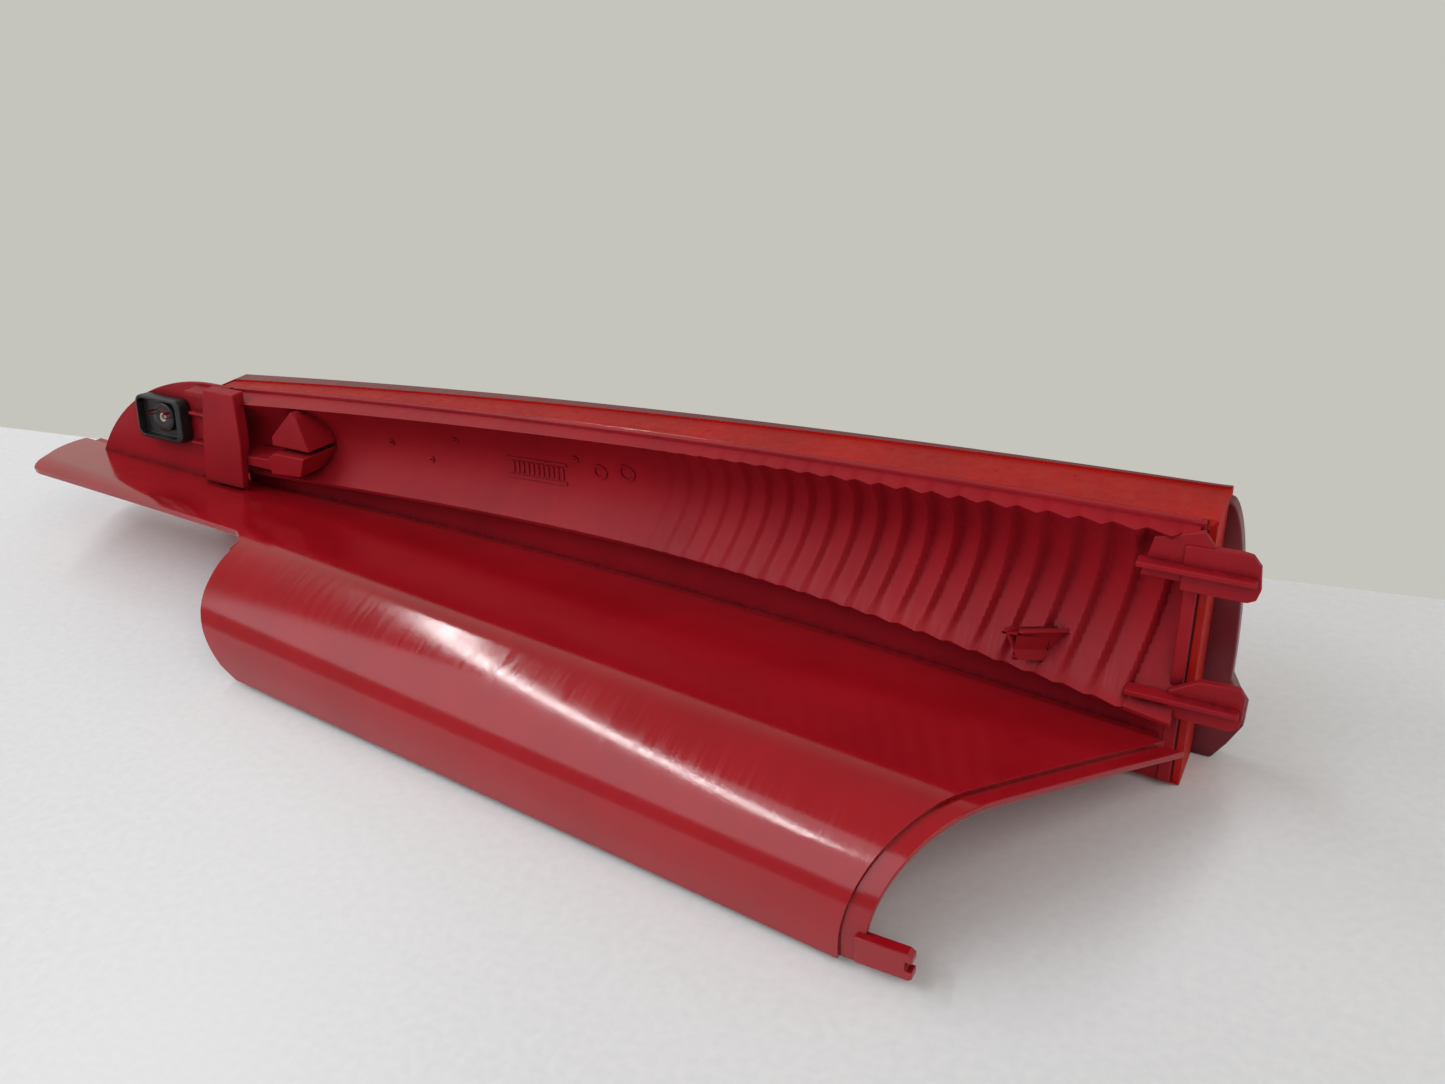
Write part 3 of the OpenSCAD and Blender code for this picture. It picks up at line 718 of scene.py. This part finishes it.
foot = [(-154, 56, 30.1), (-131, 56, 30.1), (-131, 59, 30.1), (-154, 59, 30.1)]
waist = [(-151, 57.6, 50), (-128.6, 57.6, 50), (-128.6, 63, 50), (-151, 63, 50)]
brow = [(-147, 60, 71.5), (-129, 60, 71.5), (-129, 66, 71.5), (-147, 66, 71.5)]
stack("housing_link_wall", [foot, waist, brow], housing_abs, "red_abs", bevel=0.8)
bar("housing_link_ledge", -159, 60, 67, -140, 68, 69.4, housing_abs, "red_abs", bevel=0.5)
wedge_up = [(-113, 51.5), (-112.4, 55.5), (-98.5, 68.4), (-96, 66), (-92.6, 51.5)]
wedge_low = [(-113.8, 39.6), (-113.8, 47), (-110, 49.6), (-93, 49.8), (-97.2, 41)]
for name, side, front in (("housing_wedge_upper", wedge_up, 61), ("housing_wedge_lower", wedge_low, 58)):
    outlines = [[(x + (y - front) * 0.15, y, z) for x, z in side] for y in (front, 75)]
    stack(name, outlines, housing_abs, "red_abs", bevel=0.5)
ledge_side = [(-134, 40), (-134, 44.2), (-113.2, 45), (-113.2, 40)]
stack("housing_wedge_ledge", plate(ledge_side, 60, 72), housing_abs, "red_abs", bevel=0.5)
print("link wall and wedges made")

# %% [markdown]
# Two tabs with a rib along the middle reach past the wide end, into slots of the vehicle. The upper
# one also has a gusset at its root.

# %% Locating tabs
tab_upper = [(247, 69.6), (265, 69.6), (267.2, 70.8), (268, 74)]
tab_upper += [(267.2, 81), (264.8, 84), (262, 84.4), (247, 84)]
tab_lower = [(248, 27), (266, 26.6), (268.2, 28), (269, 31)]
tab_lower += [(268.8, 39), (267.4, 41.2), (265, 41.5), (256, 41), (248, 36)]
gusset = [(236, 72), (238.6, 84.5), (251.5, 88.6), (256, 83), (256, 72)]
TAB_Y = 58
TAB_T = 2.6
for name, side, z in (("upper", tab_upper, 77), ("lower", tab_lower, 34)):
    root = side[0][0]
    stack("housing_tab_" + name, plate(side, TAB_Y, TAB_Y + TAB_T), housing_abs, "red_abs", bevel=0.5)
    bar("housing_tab_rib_" + name, root - 12, TAB_Y - 3, z - 1, root + 20, TAB_Y + 2, z + 0.8, housing_abs,
        "red_abs", bevel=0.4)
stack("housing_gusset", plate(gusset, 58.6, 60.6), housing_abs, "red_abs", bevel=0.4)
print("tabs:", TAB_T, "mm thick")

# %% [markdown]
# The tower is a hollow post of triangular section. It leans towards the narrow end, away from its
# root, and its mouth is open.

# %% Tower
def rounded(corners, r, n=6):
    """A convex outline with its corners rounded to radius r about the points given."""
    out = []
    for i, (a, b) in enumerate(corners):
        before, after = corners[i - 1], corners[(i + 1) % len(corners)]
        start = math.atan2(-(a - before[0]), b - before[1])
        stop = math.atan2(-(after[0] - a), after[1] - b)
        while stop > start:
            start += 2 * math.pi
        for k in range(n + 1):
            angle = start + (stop - start) * k / n
            out.append((a + r * math.cos(angle), b + r * math.sin(angle)))
    return out


TOWER_X, TOWER_Z = 201.8, 42.5


def triangle(y, dx, dz, size, r):
    """The tower's section at depth y: a tall triangle, shifted by dx and dz."""
    x, z = TOWER_X + dx, TOWER_Z + dz
    corners = [(x - 4 * size, z + 5.5 * size), (x + 4 * size, z + 6.5 * size), (x + 2 * size, z - 7 * size)]
    return [(u, y, w) for u, w in rounded(corners, r)]


hollow = [triangle(62, 8, -2.5, 0.45, 0.4), triangle(54, 0, 0, 0.62, 0.6)]
outside = [triangle(54, 0, 0, 0.82, 1.1), triangle(54.4, 0.4, -0.1, 0.86, 1.2)]
outside += [triangle(70, 16, -5, 0.9, 1.2)]
stack("housing_tower", hollow + outside, housing_abs, "red_abs", bevel=0)
print("tower made")

# %% [markdown]
# The ear is a flat plate that leans back by 8 degrees, with a rounded top. Its slot is a little
# longer than the clip's shank is thick, and a Boolean cuts it, because the ear's own outline is a
# curve. Two thin rails stand on its face beside the clip.

# %% Ear and rails
CLIP = Vector((-176, 65, 54))
LEAN = Matrix.Rotation(math.radians(-8), 3, "X")
SLOT_R, FLOAT_X, EAR_A, EAR_B = 4.5, 1.2, 85, 71


def on_ear(x, y, z):
    """A point of the ear's own frame, whose Y axis is the clip's axis, as a point of the drawing."""
    return tuple(CLIP + LEAN @ Vector((x, y, z)))


def ear_line(a):
    return -150 - CLIP.x - EAR_A * math.cos(math.radians(a)), EAR_B * math.sin(math.radians(a)) - CLIP.z


ear_side = [ear_line(a) for a in steps(22, 90, 26)] + [(37, 17), (37, -26)]
ear_faces = [[on_ear(x, y, z) for x, z in ear_side] for y in (0, WALL)]
ear = stack("housing_ear", ear_faces, housing_abs, "red_abs", bevel=0.5)
slot_cut = bmesh.new()
for x in (-FLOAT_X, FLOAT_X):
    bmesh.ops.create_cone(slot_cut, cap_ends=True, segments=48, radius1=SLOT_R / 1000, radius2=SLOT_R / 1000,
                          depth=0.02, matrix=Matrix.Translation((x / 1000, 0, 0)))
hull = bmesh.ops.convex_hull(slot_cut, input=slot_cut.verts)
buried = [g for g in hull["geom_interior"] if isinstance(g, bmesh.types.BMVert)]
bmesh.ops.delete(slot_cut, geom=buried, context="VERTS")
bmesh.ops.transform(slot_cut, verts=slot_cut.verts, matrix=Matrix.Translation(place(on_ear(0, 1, 0)))
                    @ (LEAN @ Matrix.Rotation(math.pi / 2, 3, "X")).to_4x4())
slot_mesh = bpy.data.meshes.new("slot")
slot_cut.to_mesh(slot_mesh)
slot_cut.free()
slot_tool = bpy.data.objects.new("slot", slot_mesh)
bpy.context.scene.collection.objects.link(slot_tool)
cut = ear.modifiers.new("slot", "BOOLEAN")
cut.object, cut.operation, cut.solver = slot_tool, "DIFFERENCE", "EXACT"
bpy.context.view_layer.update()
cut_mesh = bpy.data.meshes.new_from_object(ear.evaluated_get(bpy.context.evaluated_depsgraph_get()))
ear.modifiers.clear()
ear.data = cut_mesh
bpy.data.objects.remove(slot_tool)
rail = [(13.6, -3.4), (34, -3.4), (34, 0.5), (13.6, 0.5)]
for k, z in enumerate((-9.5, 3.5)):
    outlines = [[on_ear(x, y, w) for x, y in rail] for w in (z - 0.6, z + 0.6)]
    stack("housing_rail_%d" % k, outlines, housing_abs, "red_abs", bevel=0.3)
print("ear:", len(ear.data.polygons), "faces")

# %% [markdown]
# ## Clip and its liner
# A shallow black cap with a thin rim. Its left part is hollow, and its right part carries a round
# boss. A pale liner runs through the boss and the shank, and a stud of the vehicle pushes into it.
# Behind the ear a collar keeps the clip in the slot, where it floats a little along the lamp.

# %% Clip
CLIP_W, CLIP_H, CLIP_D = 28.5, 19.2, 5.8
LOW_X, LOW_Z = -CLIP_W * 0.61, -CLIP_H * 0.57
HIGH_X, HIGH_Z = LOW_X + CLIP_W, LOW_Z + CLIP_H


def on_clip(name, outlines, material, slot, **more):
    """A smooth piece that moves with the clip."""
    placed = [[on_ear(*p) for p in outline] for outline in outlines]
    return stack(name, placed, material, slot, body="clip", bevel=0, **more)


def rounded_box(inset, right, r, y, n=8):
    """The clip's outline, set in by one amount all round and by another on the right."""
    x0, z0, x1, z1 = LOW_X + inset, LOW_Z + inset, HIGH_X - right, HIGH_Z - inset
    out = []
    centres = [(x1 - r, z1 - r, 0), (x0 + r, z1 - r, 90), (x0 + r, z0 + r, 180), (x1 - r, z0 + r, 270)]
    for cx, cz, start in centres:
        for k in range(n + 1):
            a = math.radians(start + 90 * k / n)
            out.append((cx + r * math.cos(a), y, cz + r * math.sin(a)))
    return out


def circle(r, y, n=48):
    return [(r * math.cos(2 * math.pi * k / n), y, r * math.sin(2 * math.pi * k / n)) for k in range(n)]


def turned(profile):
    """Circles round the clip's axis, from pairs of radius and depth."""
    return [circle(r, y) for r, y in profile]


FRONT = -CLIP_D
BORE = 2
outside = ((0.3, -0.3), (0, -0.6), (0, FRONT + 0.9), (0.25, FRONT + 0.3), (0.8, FRONT))
inside_cap = ((1.3, FRONT), (1.5, FRONT + 0.3), (1.6, -2.2), (2.0, -2))
cap = [rounded_box(d, d, 4 - d, y) for d, y in outside]
cap += [rounded_box(d, d + 1.7, 2.8, y) for d, y in inside_cap]
clip = on_clip("clip_cap", cap, black_nylon, "black_nylon")
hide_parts("retaining_clip")
boss = [(6.5, -1.8), (6.5, -5), (6.3, -5.5), (5.8, FRONT)]
boss += [(2.5, FRONT), (2.1, -5.6), (BORE, -5.2), (BORE, -1.8)]
on_clip("clip_boss", turned(boss), black_nylon, "black_nylon", hollow=True)
shank = [(BORE, -0.9), (4, -0.9), (4, 2.5), (6, 2.5), (6.2, 2.8), (6.2, 3.7), (5.9, 4), (4, 4)]
shank += [(4, 4.4), (3.7, 4.7), (BORE, 4.7)]
on_clip("clip_shank", turned(shank), black_nylon, "black_nylon", hollow=True)
liner = ((1.25, 0), (1.25, -5.5), (1.45, FRONT), (1.8, FRONT), (1.95, -5.6), (1.95, 4.5), (1.7, 4.7))
bush = on_clip("clip_liner", turned(liner), natural_nylon, "bush_pale")
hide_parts("stud_bush")
print("clip: %.1f x %.1f x %.1f mm" % (CLIP_W, CLIP_H, CLIP_D))

# %% [markdown]
# ## Marks from the mould
# The trough carries small raised marks from the mould: a date block, two clock rings and a few
# ejector dots. The real block's lettering is left out, and plain bars stand in its place.

# %% Mould marks
def on_trough(x, s, out=0.0):
    return x, trough_y(x, s) - out, trough_z(x, s)


def raised_patch(name, x0, x1, s0, s1, height=0.5, n=10):
    """A thin raised block that follows the trough."""
    xs = steps(x0, x1, n)
    top = [[on_trough(x, s, height) for s in steps(s0, s1, n)] for x in xs]
    low = [[on_trough(x, s, -0.5) for s in steps(s0, s1, n)] for x in xs]
    wall(name, top, low, housing_abs, "red_abs", bevel=0.12)


def raised_ring(name, x, s, r, height=0.5, width=0.4, n=40):
    drop = z_band(x) - z_lip(x) - 2
    faces = []
    for face in (height, -0.5):
        rows = []
        for k in range(n + 1):
            a = 2 * math.pi * k / n
            radii = (r - width, r + width)
            rows.append([on_trough(x + q * math.cos(a), s + q * math.sin(a) / drop, face) for q in radii])
        faces.append(rows)
    wall(name, faces[0], faces[1], housing_abs, "red_abs", bevel=0)


raised_patch("mark_block_frame", -2, 26, 0.42, 0.45)
raised_patch("mark_block_foot", -2, 26, 0.62, 0.65)
for k in range(11):
    raised_patch("mark_block_bar_%d" % k, 0 + 2.3 * k, 1.3 + 2.3 * k, 0.47, 0.6, 0.45, 4)
raised_ring("mark_clock_one", 41, 0.44, 2.6)
raised_ring("mark_clock_two", 53, 0.4, 3.0)
for k, (x, s) in enumerate(((-60, 0.45), (-25, 0.3), (31, 0.33), (-40, 0.6))):
    raised_ring("mark_dot_%d" % k, x, s, 0.9, 0.5, 0.5, 20)
print("mould marks made")

# %% [markdown]
# ## Pieces that stay as the model has them
# Seals, the board with its parts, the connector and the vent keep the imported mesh. Each only takes
# its finish.

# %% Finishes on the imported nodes
packed_finish = {
    "lens_seal": rubber, "reflector": bright_plastic, "diffuser": opal_acrylic, "led_board": solder_resist,
    "leds": led_body, "resistors": chip, "polarity_diode": chip, "board_screws": zinc, "lead_wires": pvc,
    "connector_socket": black_nylon, "socket_seal": rubber, "connector_terminals": brass,
    "vent_plug": black_nylon, "vent_membrane": membrane, "foam_pad": foam, "rear_housing": housing_abs,
    "trim_panel": panel_abs, "outer_lens": lens_acrylic, "retaining_clip": black_nylon,
    "stud_bush": natural_nylon,
}
for name, material in packed_finish.items():
    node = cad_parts[name]
    node.data.materials.clear()
    node.data.materials.append(material)
print("finishes on", len(packed_finish), "packed nodes")

# %% [markdown]
# ## Table, backdrop and light
# The lamp lies on a white laminate table that ends a hand's breadth behind it. The wall behind is
# part of the surround, because it is far away and plain.

# %% Table
laminate = plain("white_laminate", "#E9EAED", "#E3E4E8", 0.4, 3.0, 0.02)
edge_a, edge_b = Vector((-0.396, 0.083, 0)), Vector((0.311, 0.194, 0))
run = (edge_b - edge_a).normalized()
away = Vector((run.y, -run.x, 0))
corners = [edge_a - run * 3, edge_a + run * 4, edge_a + run * 4 + away * 4, edge_a - run * 3 + away * 4]
table_mesh = bpy.data.meshes.new("table")
table_mesh.from_pydata([c - Vector((0, 0, 0.0001)) for c in corners], [], [(3, 2, 1, 0)])
table_mesh.materials.append(laminate)
table = bpy.data.objects.new("table", table_mesh)
bpy.context.scene.collection.objects.link(table)
print("table made")

# %% [markdown]
# A long narrow light hangs over the lamp and draws the bright line along the curl. Two large soft
# ones, in front to the left and behind the camera, fill the shadows, and so does the surround.

# %% Lights
def soft_light(name, where, aim, width, height, power, colour="#FFFFFF"):
    data = bpy.data.lights.new(name, "AREA")
    data.shape, data.size, data.size_y, data.energy = "RECTANGLE", width, height, power
    data.color = linear(colour)[:3]
    light = bpy.data.objects.new(name, data)
    bpy.context.scene.collection.objects.link(light)
    light.location = where
    light.rotation_euler = (Vector(aim) - Vector(where)).to_track_quat("-Z", "Y").to_euler()


soft_light("overhead_strip", (-1.1, -0.24, 1.5), (0, 0, 0), 2.4, 0.05, 15)
soft_light("front_left", (-1.2, -1.7, 1.5), (0, 0, 0), 2.6, 2.0, 24, "#F4F8FF")
soft_light("behind_camera", (1.6, -1.2, 1.9), (0.1, 0, 0), 2.4, 1.8, 24, "#FFF8F0")
world = bpy.data.worlds.new("surround")
world.use_nodes = True
tree = world.node_tree
way = add(tree, "ShaderNodeTexCoord").outputs["Generated"]
parts = add(tree, "ShaderNodeSeparateXYZ", Vector=way)
towards_wall = ramp(tree, parts.outputs["Y"], -0.1, 0.4, 0, 1)
below_ceiling = ramp(tree, parts.outputs["Z"], 0.45, 0.75, 1, 0)
lit = add(tree, "ShaderNodeMath", {"operation": "MULTIPLY"}, _0=towards_wall, _1=below_ceiling)
surround = blend_colours(tree, lit.outputs[0], "#86857F", "#C6C5BD")
tree.links.new(surround, tree.nodes["Background"].inputs["Color"])
bpy.context.scene.world = world
bpy.context.scene.view_settings.view_transform = "Standard"
print("lights:", len(bpy.data.lights))
